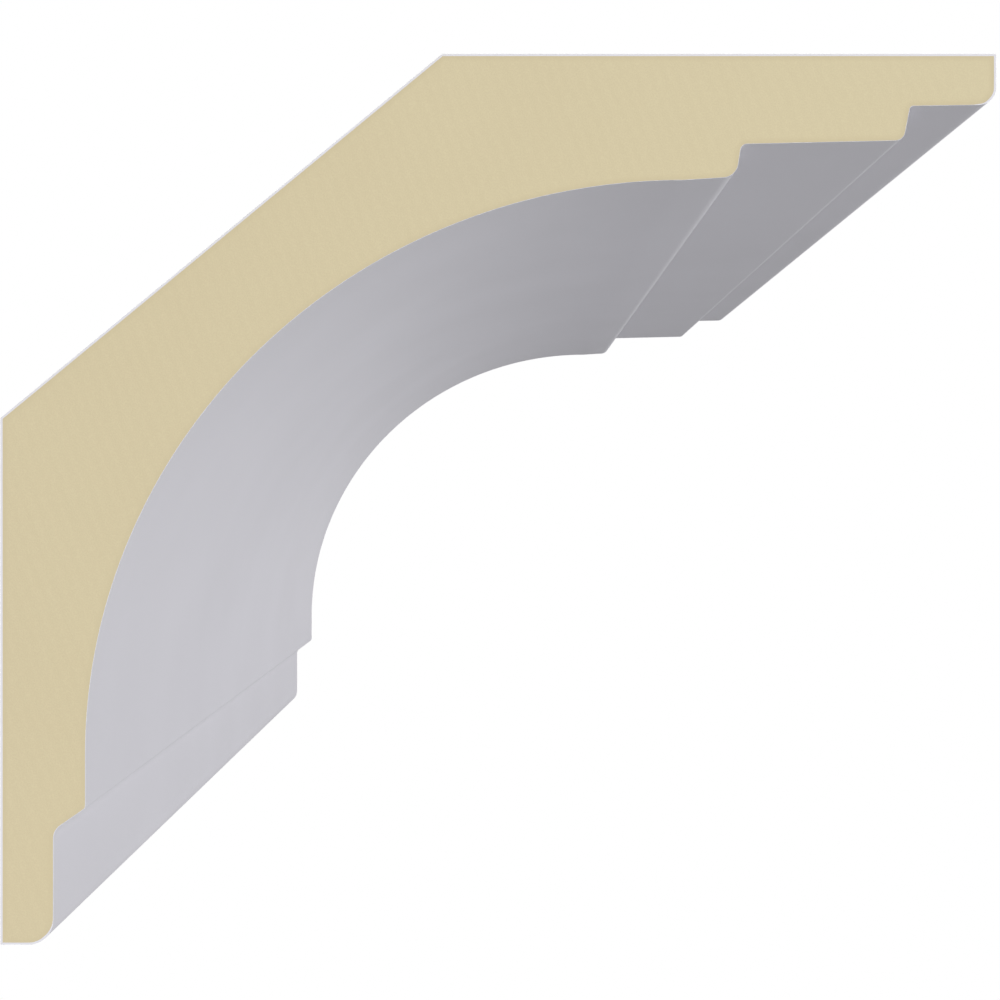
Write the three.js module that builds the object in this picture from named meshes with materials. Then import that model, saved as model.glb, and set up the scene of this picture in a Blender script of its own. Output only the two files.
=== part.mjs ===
// A length of coved cornice moulding for the corner between a wall and a ceiling.
// It is one casting of rigid foam, coated with white primer and cut square at both ends.
// Millimetres, +Z up. The run lies along X, the wall face is on Y = 0 and the moulded face looks to -Y.
// The origin is the middle of the wall face.

import * as THREE from "three";

// Overall sizes
const LENGTH = 250;
const DROP = 133.4; // height down the wall
const PROJECTION = 149.1; // reach out along the ceiling

// Back: a seat on the wall, a seat on the ceiling and a sloping relief between the two
const WALL_SEAT = 78.9;
const CEILING_SEAT = 83;

// Foot: the flat band along the bottom, with a rounded nose
const FOOT_THICKNESS = 7.9;
const FOOT_HEIGHT = 17.15;
const FOOT_NOSE_RADIUS = 3.7;

// Step: the slope from the foot band out to the face of the cove
const STEP_HEIGHT = 3.3;
const STEP_HOLLOW_RADIUS = 2.4;
const STEP_ARRIS_RADIUS = 0.8;

// Cove: a quarter of an ellipse, upright at its foot and level at its crown
const COVE_FOOT_THICKNESS = 12.7; // from the wall to the foot of the cove
const COVE_CROWN_THICKNESS = 18.9; // from the ceiling to the crown of the cove
const COVE_REACH = 89.5;
const COVE_RISE = 86.1;

// Fascias: two risers under the ceiling that lean outwards as they rise.
// Each has a rounded arris at its foot and a hollow at its head, where it meets the next soffit.
// out is measured from the wall to the arris, and the thicknesses from the ceiling.
const INNER_FASCIA = {
  out: 110.2, lean: 0.75, arrisThickness: 18.4, topThickness: 13.5, arrisRadius: 2.4, hollowRadius: 1,
};
const OUTER_FASCIA = {
  out: 135.25, lean: 1, arrisThickness: 12.95, topThickness: 7.8, arrisRadius: 1.5, hollowRadius: 0.6,
};

// Lip: the thin outer edge against the ceiling, with a rounded nose
const LIP_THICKNESS = 7.6;
const LIP_NOSE_RADIUS = 2.6;

// Straight steps that the round stretches are divided into
const COVE_STEPS = 36;
const CORNER_STEPS = 6;

// Height of the ceiling above the origin
const CEILING_HEIGHT = DROP - WALL_SEAT / 2;

/** A section corner at a distance out from the wall and down from the ceiling, with its radius. */
function corner(out, down, radius = 0) {
  return { point: new THREE.Vector2(out, CEILING_HEIGHT - down), radius };
}

/** The corners on one fascia: the rounded arris at its foot and the hollow at its head. */
function fasciaCorners({ out, lean, arrisThickness, topThickness, arrisRadius, hollowRadius }) {
  return [
    corner(out, arrisThickness, arrisRadius),
    corner(out + lean, topThickness, hollowRadius),
  ];
}

/** The points of a corner: the corner itself, or the arc that touches both runs that meet there. */
function cornerPoints(before, { point, radius }, after) {
  if (radius === 0) {
    return [point];
  }
  const back = before.clone().sub(point).normalize();
  const ahead = after.clone().sub(point).normalize();
  const halfOpening = Math.acos(back.dot(ahead)) / 2;
  const bisector = back.clone().add(ahead).normalize();
  const centre = point.clone().addScaledVector(bisector, radius / Math.sin(halfOpening));
  const touch = radius / Math.tan(halfOpening);
  const start = point.clone().addScaledVector(back, touch).sub(centre);
  const end = point.clone().addScaledVector(ahead, touch).sub(centre);
  const clockwise = back.cross(ahead) > 0;
  const arc = new THREE.ArcCurve(centre.x, centre.y, radius, start.angle(), end.angle(), clockwise);
  return arc.getPoints(CORNER_STEPS);
}

/** The points of a row of corners, between the point that comes before it and the one after it. */
function runPoints(before, corners, after) {
  const neighbours = [before, ...corners.map(({ point }) => point), after];
  return corners.flatMap((item, index) => cornerPoints(neighbours[index], item, neighbours[index + 2]));
}

/** The cove's quarter ellipse, from its foot by the wall to its crown under the ceiling. */
function covePoints() {
  const centre = corner(COVE_FOOT_THICKNESS + COVE_REACH, COVE_CROWN_THICKNESS + COVE_RISE).point;
  const quarter = new THREE.EllipseCurve(
    centre.x, centre.y, COVE_REACH, COVE_RISE, Math.PI, Math.PI / 2, true,
  );
  return quarter.getPoints(COVE_STEPS);
}

/** The closed section, anticlockwise from the bottom of the wall seat. X is out from the wall, Y is up. */
function mouldingSection() {
  const cove = covePoints();
  const foot = [
    corner(0, DROP),
    corner(FOOT_THICKNESS, DROP, FOOT_NOSE_RADIUS),
    corner(FOOT_THICKNESS, DROP - FOOT_HEIGHT, STEP_HOLLOW_RADIUS),
    corner(COVE_FOOT_THICKNESS, DROP - FOOT_HEIGHT - STEP_HEIGHT, STEP_ARRIS_RADIUS),
  ];
  const head = [
    ...fasciaCorners(INNER_FASCIA),
    ...fasciaCorners(OUTER_FASCIA),
    corner(PROJECTION, LIP_THICKNESS, LIP_NOSE_RADIUS),
    corner(PROJECTION, 0),
    corner(PROJECTION - CEILING_SEAT, 0),
    corner(0, DROP - WALL_SEAT),
  ];
  const start = foot[0].point;
  const footRun = runPoints(head.at(-1).point, foot, cove[0]);
  const headRun = runPoints(cove.at(-1), head, start);
  return new THREE.Shape([...footRun, ...cove, ...headRun]);
}

/** The section carried along the run, with bare foam on the two cut ends and primer all round. */
function mouldingLength() {
  const geometry = new THREE.ExtrudeGeometry(mouldingSection(), { depth: LENGTH, bevelEnabled: false });
  const cutFoam = new THREE.MeshStandardMaterial({ color: 0xd8caa2, roughness: 0.9, metalness: 0 });
  const primer = new THREE.MeshStandardMaterial({ color: 0xe4e3e8, roughness: 0.55, metalness: 0 });
  const mesh = new THREE.Mesh(geometry, [cutFoam, primer]);
  mesh.name = "cornice_moulding";
  mesh.rotation.set(Math.PI / 2, 0, -Math.PI / 2, "ZYX");
  mesh.position.x = LENGTH / 2;
  return mesh;
}

const cornice = new THREE.Group();
cornice.add(mouldingLength());

export default cornice;
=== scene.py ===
"""Looks of a length of coved cornice moulding: primed rigid foam with bare foam on its cut ends.

Metres, +Z up. The run lies along X, the wall is at Y = 0 and the moulded face looks to -Y.
A section point is (out, up): out from the wall and up from the middle of the wall seat.
"""

import math

import bpy
import numpy as np
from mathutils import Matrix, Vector


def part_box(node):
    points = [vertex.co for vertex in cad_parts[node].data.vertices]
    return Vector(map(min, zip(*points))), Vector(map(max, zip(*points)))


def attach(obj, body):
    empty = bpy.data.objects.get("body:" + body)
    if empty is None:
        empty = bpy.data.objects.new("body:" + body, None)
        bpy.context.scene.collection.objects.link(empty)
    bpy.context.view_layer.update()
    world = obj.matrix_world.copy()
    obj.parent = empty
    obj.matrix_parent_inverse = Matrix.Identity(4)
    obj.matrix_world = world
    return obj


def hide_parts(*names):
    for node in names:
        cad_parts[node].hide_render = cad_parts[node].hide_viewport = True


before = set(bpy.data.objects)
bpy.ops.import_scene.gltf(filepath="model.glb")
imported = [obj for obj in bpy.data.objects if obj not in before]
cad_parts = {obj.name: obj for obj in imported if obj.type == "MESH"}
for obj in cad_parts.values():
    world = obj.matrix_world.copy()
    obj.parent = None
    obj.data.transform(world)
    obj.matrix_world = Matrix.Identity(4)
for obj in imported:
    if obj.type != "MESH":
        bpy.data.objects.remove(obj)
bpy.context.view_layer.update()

MM = 0.001
NODE = "cornice_moulding"

# Overall sizes, from the solid
low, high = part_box(NODE)
LENGTH = high.x - low.x
PROJECTION = high.y - low.y
DROP = high.z - low.z
CEILING_HEIGHT = high.z

# Back: a seat on the wall and a seat on the ceiling, with a sloping relief between them
WALL_SEAT = 78.9 * MM
CEILING_SEAT = 83 * MM

# Foot and step
FOOT_THICKNESS = 7.9 * MM
FOOT_HEIGHT = 17.15 * MM
FOOT_NOSE_RADIUS = 3.7 * MM
STEP_HEIGHT = 3.3 * MM
STEP_HOLLOW_RADIUS = 2.4 * MM
STEP_ARRIS_RADIUS = 0.8 * MM

# Cove: a quarter of an ellipse
COVE_FOOT_THICKNESS = 12.7 * MM
COVE_CROWN_THICKNESS = 18.9 * MM
COVE_REACH = 89.5 * MM
COVE_RISE = 86.1 * MM

# Fascias: the arris and the hollow of each, out from the wall and down from the ceiling
INNER_ARRIS = (110.2 * MM, 18.4 * MM)
INNER_ARRIS_RADIUS = 2.4 * MM
INNER_HOLLOW = (110.95 * MM, 13.5 * MM)
INNER_HOLLOW_RADIUS = 1.0 * MM
OUTER_ARRIS = (135.25 * MM, 12.95 * MM)
OUTER_ARRIS_RADIUS = 1.5 * MM
OUTER_HOLLOW = (136.25 * MM, 7.8 * MM)
OUTER_HOLLOW_RADIUS = 0.6 * MM

# Lip
LIP_THICKNESS = 7.6 * MM
LIP_NOSE_RADIUS = 2.6 * MM

# Edges of the cut ends
CUT_EDGE_WEAR = 0.02 * MM  # soft arris that sanding leaves round each cut end
FACE_COAT = 0.03 * MM  # primer on the moulded face, seen edge on round each cut end
BACK_COAT = 0.3 * MM  # thicker primer on the back, the foot edge and the lip edge
COAT_FADE = 3 * MM  # stretch at each end of the moulded face over which the primer thins
SKIN_THICKNESS = 0.9 * MM  # denser foam under the primer

# Mesh fineness
RUN_STATIONS = 26
POINT_PITCH = 0.9 * MM
COVE_STEPS = 150
CORNER_STEPS = 12
EDGE_STEPS = 8
END_FADE = 30  # how fast the shapes of the foot and lip edges fade out in the grid of a cut end
SHARP_ANGLE = math.radians(25)

# Primer: colours as reflectance, and the sizes and heights of its marks
PRIMER_SHADE = (0.790, 0.782, 0.832)
PRIMER_TINT = (0.812, 0.804, 0.856)
PRIMER_PATCH = 33 * MM
PRIMER_ROUGHNESS = (0.61, 0.66)
PRIMER_GLOSS = 0.25
GLOSS_PATCH = 30 * MM
PEEL_SIZE = 1.4 * MM
PEEL_HEIGHT = 0.0024 * MM
SPRAY_SIZE = 0.25 * MM
SPRAY_HEIGHT = 0.0008 * MM
BACK_STREAK = (0.792, 0.776, 0.792)  # warmer primer in streaks on the back
STREAK_WIDTH = 12 * MM
STREAK_STRETCH = (0.2, 1, 1)  # long along the run

# Foam: colours as reflectance, shares of the darker and the paler one, and sizes and heights of its marks
FOAM_SHADE = (0.667, 0.572, 0.376)
FOAM_TINT = (0.759, 0.676, 0.448)
FOAM_SKIN = (0.672, 0.582, 0.380)
FOAM_PAINTED_LIGHT = (0.30, 0.65)  # painted light: paler from the wall to the lip, standing in for the brighter light on the lip's side
FOAM_CLOUDS = (-0.05, 0.05)
FOAM_PORES = (-0.20, 0.20)  # from the middle of a cell to its wall
FOAM_ROUGHNESS = 0.9
FOAM_GLOSS = 0.1
CLOUD_SIZE = 22 * MM
CELL_SIZE = 0.22 * MM
CELL_SPAN = (0.1, 0.9)  # usual distances from the middle of a cell, in cell sizes
PORE_DEPTH = 0.006 * MM
SAW_PITCH = 2 * MM
SAW_HEIGHT = 0.01 * MM
SAW_WANDER = 2  # how far the saw marks stray from straight lines
SAW_TURN = (math.radians(20), 0, 0)

# Noise: the values that most of it lies between, and how many finer layers it has
NOISE_SPAN = (0.3, 0.7)
NOISE_LAYERS = 2

# Light
AMBIENT = 0.317
KEY_FROM = (-0.837, -0.547, 0.0)  # level, from the front and from the near cut end's side
KEY_STRENGTH = 2.267
BACK_FROM = (0.35, 0.45, 0.82)  # from above and behind
BACK_STRENGTH = 1.6
SUN_SPREAD = math.radians(25)
END_FROM = (1, 0.3, 0.3)  # behind the moulded face, so that it lights the far cut end and the back alone
END_STRENGTH = 1.3
FILL_PLACE = (-0.21, 0.0, -0.33)
FILL_SIZE = 0.15
FILL_POWER = 0.136

# Camera, looking along the run at the cut end
LENS = 50.0
SENSOR = 36.0
CAMERA_GAP = 208 * MM  # from the lens to the cut end
CAMERA_OUT = 74.8 * MM
CAMERA_DOWN = 66.8 * MM
NEAREST_SEEN = 10 * MM

# Stage
FLOOR_HEIGHT = -0.6
STAGE_RADIUS = 8.0
STAGE_SIDES = 64
STAGE_RISES = 16
PAPER_GLOW = 1.0

# Plain colours of the paper and the surrounding light
WHITE = (1, 1, 1, 1)
BLACK = (0, 0, 0, 1)


def section_point(out, down):
    """The section point that is that far out from the wall and down from the ceiling."""
    return np.array([out, CEILING_HEIGHT - down])


def rounded(before, corner, after, radius):
    """The arc that rounds a corner: its centre is on the bisector, radius / sin(half the opening) away,
    and it turns evenly from the point where it touches one run to the point where it touches the other."""
    back = (before - corner) / np.linalg.norm(before - corner)
    ahead = (after - corner) / np.linalg.norm(after - corner)
    half_opening = math.acos(back @ ahead) / 2
    bisector = (back + ahead) / np.linalg.norm(back + ahead)
    centre = corner + bisector * radius / math.sin(half_opening)
    start = corner + back * radius / math.tan(half_opening) - centre
    end = corner + ahead * radius / math.tan(half_opening) - centre
    swing = math.atan2(start[0] * end[1] - start[1] * end[0], start @ end)
    angles = math.atan2(start[1], start[0]) + np.linspace(0, swing, CORNER_STEPS + 1)
    return centre + radius * np.stack([np.cos(angles), np.sin(angles)], axis=1)


def straight(start, end, steps):
    """Evenly spaced points from start up to, but without, end."""
    return start + (np.arange(steps) / steps)[:, None] * (end - start)


def chained(arcs):
    """Arcs joined end to end by straight runs that have a point about every POINT_PITCH."""
    points = []
    for arc, following in zip(arcs, arcs[1:]):
        gap = np.linalg.norm(following[0] - arc[-1])
        points += [arc[:-1], straight(arc[-1], following[0], math.ceil(gap / POINT_PITCH))]
    return np.concatenate(points + [arcs[-1]])


def cove_arc():
    """A quarter of an ellipse, upright at its foot by the wall and level at its crown."""
    centre = section_point(COVE_FOOT_THICKNESS + COVE_REACH, COVE_CROWN_THICKNESS + COVE_RISE)
    turn = np.linspace(0, math.pi / 2, COVE_STEPS + 1)
    return centre + np.stack([-COVE_REACH * np.cos(turn), COVE_RISE * np.sin(turn)], axis=1)


def section_sides():
    """The section as four sides: the moulded face and the back, paired point by point from foot to lip,
    and the short foot and lip edges, paired point by point from the back to the middle of each nose."""
    cove = cove_arc()
    heel = section_point(0, DROP)
    foot_nose = section_point(FOOT_THICKNESS, DROP)
    step_hollow = section_point(FOOT_THICKNESS, DROP - FOOT_HEIGHT)
    step_arris = section_point(COVE_FOOT_THICKNESS, DROP - FOOT_HEIGHT - STEP_HEIGHT)
    inner_arris = section_point(*INNER_ARRIS)
    inner_hollow = section_point(*INNER_HOLLOW)
    outer_arris = section_point(*OUTER_ARRIS)
    outer_hollow = section_point(*OUTER_HOLLOW)
    lip_nose = section_point(PROJECTION, LIP_THICKNESS)
    lip_top = section_point(PROJECTION, 0)
    relief_top = section_point(PROJECTION - CEILING_SEAT, 0)
    relief_foot = section_point(0, DROP - WALL_SEAT)

    foot_arc = rounded(heel, foot_nose, step_hollow, FOOT_NOSE_RADIUS)
    lip_arc = rounded(outer_hollow, lip_nose, lip_top, LIP_NOSE_RADIUS)
    half = CORNER_STEPS // 2
    face = chained([
        foot_arc[half:],
        rounded(foot_nose, step_hollow, step_arris, STEP_HOLLOW_RADIUS),
        rounded(step_hollow, step_arris, cove[0], STEP_ARRIS_RADIUS),
        cove,
        rounded(cove[-1], inner_arris, inner_hollow, INNER_ARRIS_RADIUS),
        rounded(inner_arris, inner_hollow, outer_arris, INNER_HOLLOW_RADIUS),
        rounded(inner_hollow, outer_arris, outer_hollow, OUTER_ARRIS_RADIUS),
        rounded(outer_arris, outer_hollow, lip_nose, OUTER_HOLLOW_RADIUS),
        lip_arc[:half + 1],
    ])
    foot_edge = np.concatenate([straight(heel, foot_arc[0], EDGE_STEPS), foot_arc[:half + 1]])
    lip_edge = np.concatenate([straight(lip_top, lip_arc[-1], EDGE_STEPS), lip_arc[:half - 1:-1]])
    back = paired_back(face, [
        (heel, face[0]),
        (relief_foot, relief_foot),
        (relief_top, relief_top),
        (section_point(INNER_ARRIS[0], 0), inner_hollow),
        (section_point(OUTER_ARRIS[0], 0), outer_hollow),
        (lip_top, face[-1]),
    ])
    return face, back, foot_edge, lip_edge


def distances(points):
    """Each point's distance from the start of a line of points, along the line."""
    steps = np.linalg.norm(np.diff(points, axis=0), axis=1)
    return np.concatenate([[0], np.cumsum(steps)])


def shares(points):
    """Each point's share of the way along a line of points, from 0 to 1."""
    way = distances(points)
    return way / way[-1]


def paired_back(face, pairs):
    """A back point for each face point. The back point of each pair goes with the face point nearest to
    its partner, and between pairs the back is divided in proportion to the face."""
    way = shares(face)
    nearest = [np.argmin(np.linalg.norm(face - partner, axis=1)) for _, partner in pairs]
    corners = np.array([corner for corner, _ in pairs])
    return np.stack([np.interp(way, way[nearest], axis) for axis in corners.T], axis=1)


def section_loop(face, back, foot_edge, lip_edge):
    """The closed section, anticlockwise from the heel: foot edge, face, lip edge and back."""
    return np.concatenate([foot_edge[:-1], face[:-1], lip_edge[:0:-1], back[:0:-1]])


def loop_sides(loop, sides):
    """The four sides of a loop whose points are in step with the loop of the given sides."""
    face, back, foot_edge, lip_edge = [len(side) - 1 for side in sides]
    lip_start = foot_edge + face
    back_start = lip_start + lip_edge
    return (
        loop[foot_edge:lip_start + 1],
        np.concatenate([loop[:1], loop[:back_start - 1:-1]]),
        loop[:foot_edge + 1],
        loop[lip_start:back_start + 1][::-1],
    )


def coat_thickness(face, back, foot_edge, lip_edge):
    """Thickness of the primer at each point of the loop: BACK_COAT on the back and on both short edges,
    and on the face a fall to FACE_COAT in step with the distance from the face's nearer end."""
    way = distances(face)
    from_end = np.minimum(way, way[-1] - way)
    on_face = np.interp(from_end, (0, COAT_FADE), (BACK_COAT, FACE_COAT))
    others = [np.full(len(side), BACK_COAT) for side in (back, foot_edge, lip_edge)]
    return section_loop(on_face, *others)


def on_back(face, back, foot_edge, lip_edge):
    """For each point of the loop, 1 on the back and 0 on the other three sides."""
    marks = [np.full(len(side), float(side is back)) for side in (face, back, foot_edge, lip_edge)]
    return section_loop(*marks)


def inward(loop):
    """For each point of an anticlockwise loop, the step that moves both its edges in by one unit:
    the sum of the edges' inward normals over one plus their product."""
    along = np.roll(loop, -1, axis=0) - loop
    along = along / np.linalg.norm(along, axis=1, keepdims=True)
    after = np.stack([-along[:, 1], along[:, 0]], axis=1)
    before = np.roll(after, 1, axis=0)
    return (before + after) / (1 + np.sum(before * after, axis=1, keepdims=True))


def filled(face, back, foot_edge, lip_edge):
    """A grid of points between four sides: straight lines from back to face, bent near each end towards
    the shape of its short edge by the edge's departure from its own straight line."""
    along = shares(face)[:, None, None]
    across = np.linspace(0, 1, len(foot_edge))[None, :, None]
    lines = (1 - across) * back[:, None] + across * face[:, None]
    foot_bend = (1 - along) ** END_FADE * (foot_edge - lines[0])
    lip_bend = along ** END_FADE * (lip_edge - lines[-1])
    return lines + foot_bend + lip_bend


def depth_below(loop, points):
    """Each point's distance to the nearest edge of the loop."""
    edge = np.roll(loop, -1, axis=0) - loop
    offset = points[:, None] - loop[None]
    share = np.clip(np.sum(offset * edge, axis=2) / np.sum(edge * edge, axis=1), 0, 1)
    return np.linalg.norm(offset - share[:, :, None] * edge, axis=2).min(axis=1)


def placed(section, run):
    """Section points set at distances along the run, as points of the part's frame."""
    run = np.broadcast_to(run, section.shape[:-1])
    return np.stack([low.x + run, -section[..., 0], section[..., 1]], axis=-1)


def quads(a, b, c, d):
    """Rows of four corners, from four arrays of point numbers of one shape."""
    return np.stack([a, b, c, d], axis=-1).reshape(-1, 4)


def between_rings(ids):
    """Faces that join each ring of point numbers to the ring after it."""
    after = np.roll(ids, -1, axis=1)
    return quads(ids[:-1], ids[1:], after[1:], after[:-1])


def run_rings(loop, drawn_in):
    """The loop carried along the run as rings of points. At each end the outermost ring is drawn in by
    the wear of the arris, and the ring next to it lies that far along the run."""
    run = np.linspace(CUT_EDGE_WEAR, LENGTH - CUT_EDGE_WEAR, RUN_STATIONS)
    run = np.concatenate([[0], run, [LENGTH]])
    wear = np.zeros(len(run))
    wear[[0, -1]] = CUT_EDGE_WEAR
    return placed(loop + wear[:, None, None] * drawn_in, run[:, None])


def cut_end_faces(ring, grid):
    """Faces of the near cut end, from point numbers: the coat, between the run's ring and the border of
    the foam's grid, and the foam."""
    border = section_loop(grid[:, -1], grid[:, 0], grid[0], grid[-1])
    coat = quads(ring, np.roll(ring, -1), np.roll(border, -1), border)
    foam = quads(grid[:-1, :-1], grid[:-1, 1:], grid[1:, 1:], grid[1:, :-1])
    return coat, foam


def linked(data):
    """An object for a mesh, a light or a camera, in the scene and under the same name."""
    item = bpy.data.objects.new(data.name, data)
    bpy.context.scene.collection.objects.link(item)
    return item


def moulding():
    """The section's loop carried along the run, and closed at each end by a ring of coat round a filled
    grid of foam. The far end's faces are the near end's, turned over."""
    sides = section_sides()
    loop = section_loop(*sides)
    drawn_in = inward(loop)
    rings = run_rings(loop, drawn_in)
    core = loop + (CUT_EDGE_WEAR + coat_thickness(*sides)[:, None]) * drawn_in
    foam = filled(*loop_sides(core, sides))
    points = np.concatenate([
        rings.reshape(-1, 3),
        placed(foam, 0).reshape(-1, 3),
        placed(foam, LENGTH).reshape(-1, 3),
    ])

    ring_ids = np.arange(rings[..., 0].size).reshape(rings.shape[:2])
    near_ids = ring_ids.size + np.arange(foam[..., 0].size).reshape(foam.shape[:2])
    far_ids = near_ids + near_ids.size
    outside = between_rings(ring_ids)
    near_coat, near_foam = cut_end_faces(ring_ids[0], near_ids)
    far_coat, far_foam = cut_end_faces(ring_ids[-1], far_ids)
    primed = np.concatenate([outside, near_coat, far_coat[:, ::-1]])
    bare = np.concatenate([near_foam, far_foam[:, ::-1]])

    mesh = bpy.data.meshes.new("moulding")
    mesh.from_pydata(points.tolist(), [], np.concatenate([primed, bare]).tolist())
    mesh.materials.append(white_primer())
    mesh.materials.append(cut_foam())
    numbers = np.arange(len(mesh.polygons))
    mesh.polygons.foreach_set("material_index", (numbers >= len(primed)).astype(np.int32))
    mesh.polygons.foreach_set("use_smooth", numbers < len(outside))
    mesh.set_sharp_from_angle(angle=SHARP_ANGLE)

    skin_depth = np.zeros(len(points))
    skin_depth[ring_ids.size:] = np.tile(depth_below(core, foam.reshape(-1, 2)), 2)
    streaky = np.zeros(len(points))
    streaky[:ring_ids.size] = np.tile(on_back(*sides), len(rings))
    for name, values in (("skin_depth", skin_depth), ("streaky", streaky)):
        mesh.attributes.new(name, "FLOAT", "POINT").data.foreach_set("value", values.astype(np.float32))
    mesh.update()
    return linked(mesh)


def new_material(name):
    """A node material with nothing but its principled shader: the material, its tree and the shader."""
    material = bpy.data.materials.new(name)
    material.use_nodes = True
    return material, material.node_tree, material.node_tree.nodes["Principled BSDF"]


def object_place(tree, turn=(0, 0, 0), stretch=(1, 1, 1)):
    """The piece's own coordinates, turned and stretched for a pattern that has a direction."""
    mapping = tree.nodes.new("ShaderNodeMapping")
    mapping.inputs["Rotation"].default_value = turn
    mapping.inputs["Scale"].default_value = stretch
    place = tree.nodes.new("ShaderNodeTexCoord").outputs["Object"]
    tree.links.new(place, mapping.inputs["Vector"])
    return mapping.outputs["Vector"]


def attribute(tree, name):
    """The value of a named attribute of the mesh."""
    reader = tree.nodes.new("ShaderNodeAttribute")
    reader.attribute_name = name
    return reader.outputs["Fac"]


def spread(tree, value, span, onto=(0, 1)):
    """A value that lies within one span, spread evenly over another."""
    ranged = tree.nodes.new("ShaderNodeMapRange")
    ranged.inputs["From Min"].default_value, ranged.inputs["From Max"].default_value = span
    ranged.inputs["To Min"].default_value, ranged.inputs["To Max"].default_value = onto
    tree.links.new(value, ranged.inputs["Value"])
    return ranged.outputs["Result"]


def noise(tree, place, size, onto=(0, 1)):
    """Noise with patches of a given size, spread over a range of values."""
    texture = tree.nodes.new("ShaderNodeTexNoise")
    texture.inputs["Scale"].default_value = 1 / size
    texture.inputs["Detail"].default_value = NOISE_LAYERS
    tree.links.new(place, texture.inputs["Vector"])
    return spread(tree, texture.outputs["Fac"], NOISE_SPAN, onto)


def foam_cells(tree, place):
    """Distance from the middle of the nearest cell, in cell sizes."""
    cells = tree.nodes.new("ShaderNodeTexVoronoi")
    cells.inputs["Scale"].default_value = 1 / CELL_SIZE
    tree.links.new(place, cells.inputs["Vector"])
    return cells.outputs["Distance"]


def saw_marks(tree, place):
    """Wavering ridges across the Y of a place: the sine of Y, with noise added to Y.
    Blender's wave has ten over pi ridges for each unit of its scale."""
    ridges = tree.nodes.new("ShaderNodeTexWave")
    ridges.bands_direction = "Y"
    ridges.inputs["Scale"].default_value = math.pi / 10 / SAW_PITCH
    ridges.inputs["Distortion"].default_value = SAW_WANDER
    tree.links.new(place, ridges.inputs["Vector"])
    return ridges.outputs["Fac"]


def combined(tree, operation, first, second):
    """Two values put together by a sum or a product."""
    maths = tree.nodes.new("ShaderNodeMath")
    maths.operation = operation
    for value, socket in zip((first, second), maths.inputs):
        tree.links.new(value, socket)
    return maths.outputs["Value"]


def tinted(tree, value, first, second):
    """A colour that goes from first to second as the value goes from 0 to 1."""
    mix = tree.nodes.new("ShaderNodeMix")
    mix.data_type = "RGBA"
    tree.links.new(value, mix.inputs["Factor"])
    for colour, socket in ((first, mix.inputs["A"]), (second, mix.inputs["B"])):
        if isinstance(colour, tuple):
            socket.default_value = (*colour, 1)
        else:
            tree.links.new(colour, socket)
    return mix.outputs["Result"]


def raised(tree, form, height, under=None):
    """Bump of a form that goes from 0 to 1 over a height in metres, laid over the bump under it."""
    bump = tree.nodes.new("ShaderNodeBump")
    bump.inputs["Distance"].default_value = height
    tree.links.new(form, bump.inputs["Height"])
    if under is not None:
        tree.links.new(under, bump.inputs["Normal"])
    return bump.outputs["Normal"]


def white_primer():
    """Cool white satin primer, a little uneven in tone and gloss, with a fine sprayed skin.
    On the back it has faint warmer streaks along the run."""
    material, tree, shader = new_material("white_primer")
    place = object_place(tree)
    coat = tinted(tree, noise(tree, place, PRIMER_PATCH), PRIMER_SHADE, PRIMER_TINT)
    streaks = noise(tree, object_place(tree, stretch=STREAK_STRETCH), STREAK_WIDTH)
    warmth = combined(tree, "MULTIPLY", streaks, attribute(tree, "streaky"))
    peel = raised(tree, noise(tree, place, PEEL_SIZE), PEEL_HEIGHT)
    spray = raised(tree, noise(tree, place, SPRAY_SIZE), SPRAY_HEIGHT, peel)
    tree.links.new(tinted(tree, warmth, coat, BACK_STREAK), shader.inputs["Base Color"])
    tree.links.new(noise(tree, place, GLOSS_PATCH, PRIMER_ROUGHNESS), shader.inputs["Roughness"])
    tree.links.new(spray, shader.inputs["Normal"])
    shader.inputs["Specular IOR Level"].default_value = PRIMER_GLOSS
    return material


def cut_foam():
    """Sawn cream foam with painted light, paler towards the lip where more light falls: fine cells with
    darker middles, clouds of density, faint saw marks and a denser, deeper skin under the coat."""
    material, tree, shader = new_material("cut_foam")
    place = object_place(tree)
    axes = tree.nodes.new("ShaderNodeSeparateXYZ")
    tree.links.new(place, axes.inputs["Vector"])
    # painted light: the foam's colour grows paler from the wall to the lip, for the brighter light on that
    # side
    painted_light = spread(tree, axes.outputs["Y"], (0, -PROJECTION), FOAM_PAINTED_LIGHT)
    clouds = noise(tree, place, CLOUD_SIZE, FOAM_CLOUDS)
    cells = foam_cells(tree, place)
    pores = spread(tree, cells, CELL_SPAN, FOAM_PORES)
    # the foam's random tone from clouds and cells, plus the painted light towards the lip
    tone_and_painted_light = combined(tree, "ADD", combined(tree, "ADD", painted_light, clouds), pores)
    foam = tinted(tree, tone_and_painted_light, FOAM_SHADE, FOAM_TINT)
    below_skin = spread(tree, attribute(tree, "skin_depth"), (0, SKIN_THICKNESS))
    marks = raised(tree, saw_marks(tree, object_place(tree, turn=SAW_TURN)), SAW_HEIGHT)
    pits = raised(tree, cells, PORE_DEPTH, marks)
    tree.links.new(tinted(tree, below_skin, FOAM_SKIN, foam), shader.inputs["Base Color"])
    tree.links.new(pits, shader.inputs["Normal"])
    shader.inputs["Roughness"].default_value = FOAM_ROUGHNESS
    shader.inputs["Specular IOR Level"].default_value = FOAM_GLOSS
    return material


def lamp(light, source, place=(0, 0, 0)):
    """A light hung at a place, shining away from the direction of its source and not seen itself."""
    holder = linked(light)
    holder.location = place
    holder.rotation_mode = "QUATERNION"
    holder.rotation_quaternion = Vector(source).to_track_quat("Z", "Y")
    holder.visible_camera = False


def sun(name, source, strength):
    """A soft light from far away in a given direction."""
    light = bpy.data.lights.new(name, "SUN")
    light.energy = strength
    light.angle = SUN_SPREAD
    lamp(light, source)


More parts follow.
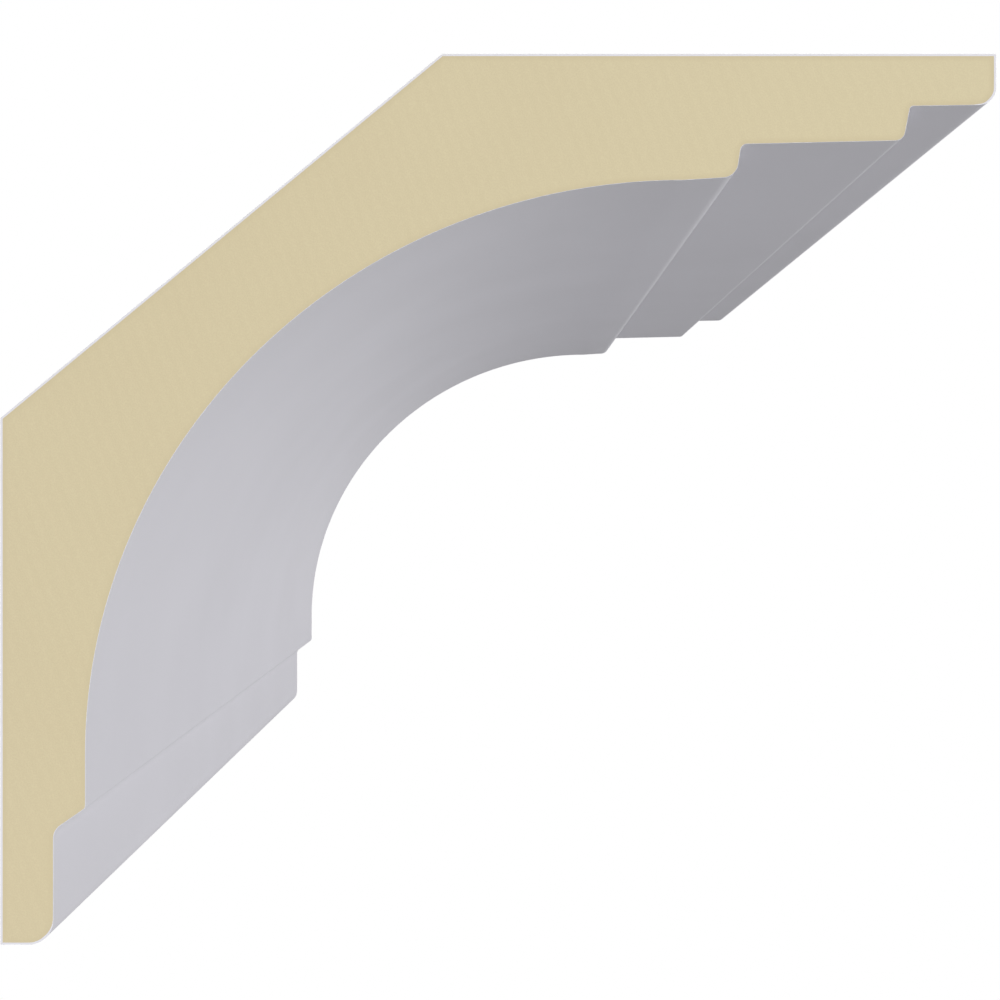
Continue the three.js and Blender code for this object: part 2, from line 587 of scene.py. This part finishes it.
def fill():
    """A soft round panel, low in front of the near cut end and turned to the origin, that lights the
    soffits most at that end."""
    light = bpy.data.lights.new("fill", "AREA")
    light.shape = "DISK"
    light.size = FILL_SIZE
    light.energy = FILL_POWER
    lamp(light, FILL_PLACE, FILL_PLACE)


def surroundings():
    """Even soft light from all round."""
    world = bpy.data.worlds.new("studio")
    world.use_nodes = True
    background = world.node_tree.nodes["Background"]
    background.inputs["Color"].default_value = WHITE
    background.inputs["Strength"].default_value = AMBIENT
    bpy.context.scene.world = world


def white_paper():
    """Evenly lit white paper: it glows white and takes no other light."""
    material, _, shader = new_material("white_paper")
    shader.inputs["Base Color"].default_value = BLACK
    shader.inputs["Specular IOR Level"].default_value = 0
    shader.inputs["Emission Color"].default_value = WHITE
    shader.inputs["Emission Strength"].default_value = PAPER_GLOW
    return material


def backdrop():
    """A white dome on a white floor: a circle at the floor that closes in as it rises, by the cosine and
    the sine of the angle of rise, and is filled in across the bottom."""
    turn = np.linspace(0, 2 * math.pi, STAGE_SIDES, endpoint=False)
    rise = np.linspace(0, math.pi / 2, STAGE_RISES + 1)[:-1, None]
    x = STAGE_RADIUS * np.cos(rise) * np.cos(turn)
    y = STAGE_RADIUS * np.cos(rise) * np.sin(turn)
    z = np.broadcast_to(FLOOR_HEIGHT + STAGE_RADIUS * np.sin(rise), x.shape)
    ids = np.arange(x.size).reshape(x.shape)
    points = np.stack([x, y, z], axis=-1).reshape(-1, 3)
    mesh = bpy.data.meshes.new("backdrop")
    mesh.from_pydata(points.tolist(), [], [
        *between_rings(ids).tolist(),
        ids[0].tolist(),
        ids[-1, ::-1].tolist(),
    ])
    mesh.materials.append(white_paper())
    return mesh


def set_stage():
    """Floor and backdrop, seen by the camera alone so that they add no light of their own."""
    stage = linked(backdrop())
    stage.visible_diffuse = False
    stage.visible_glossy = False
    stage.visible_transmission = False
    stage.visible_shadow = False


def camera():
    """The photograph's view: square on to the near cut end, with the run going straight away from it."""
    lens = bpy.data.cameras.new("camera")
    lens.lens = LENS
    lens.sensor_width = SENSOR
    lens.clip_start = NEAREST_SEEN
    viewer = linked(lens)
    viewer.location = (low.x - CAMERA_GAP, -CAMERA_OUT, CEILING_HEIGHT - CAMERA_DOWN)
    viewer.rotation_euler = (math.pi / 2, 0, -math.pi / 2)
    bpy.context.scene.camera = viewer


camera()
piece = moulding()
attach(piece, "root")
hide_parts(NODE)

surroundings()
sun("key", KEY_FROM, KEY_STRENGTH)
sun("back", BACK_FROM, BACK_STRENGTH)
sun("end", END_FROM, END_STRENGTH)
fill()
set_stage()
bpy.context.scene.view_settings.view_transform = "Standard"
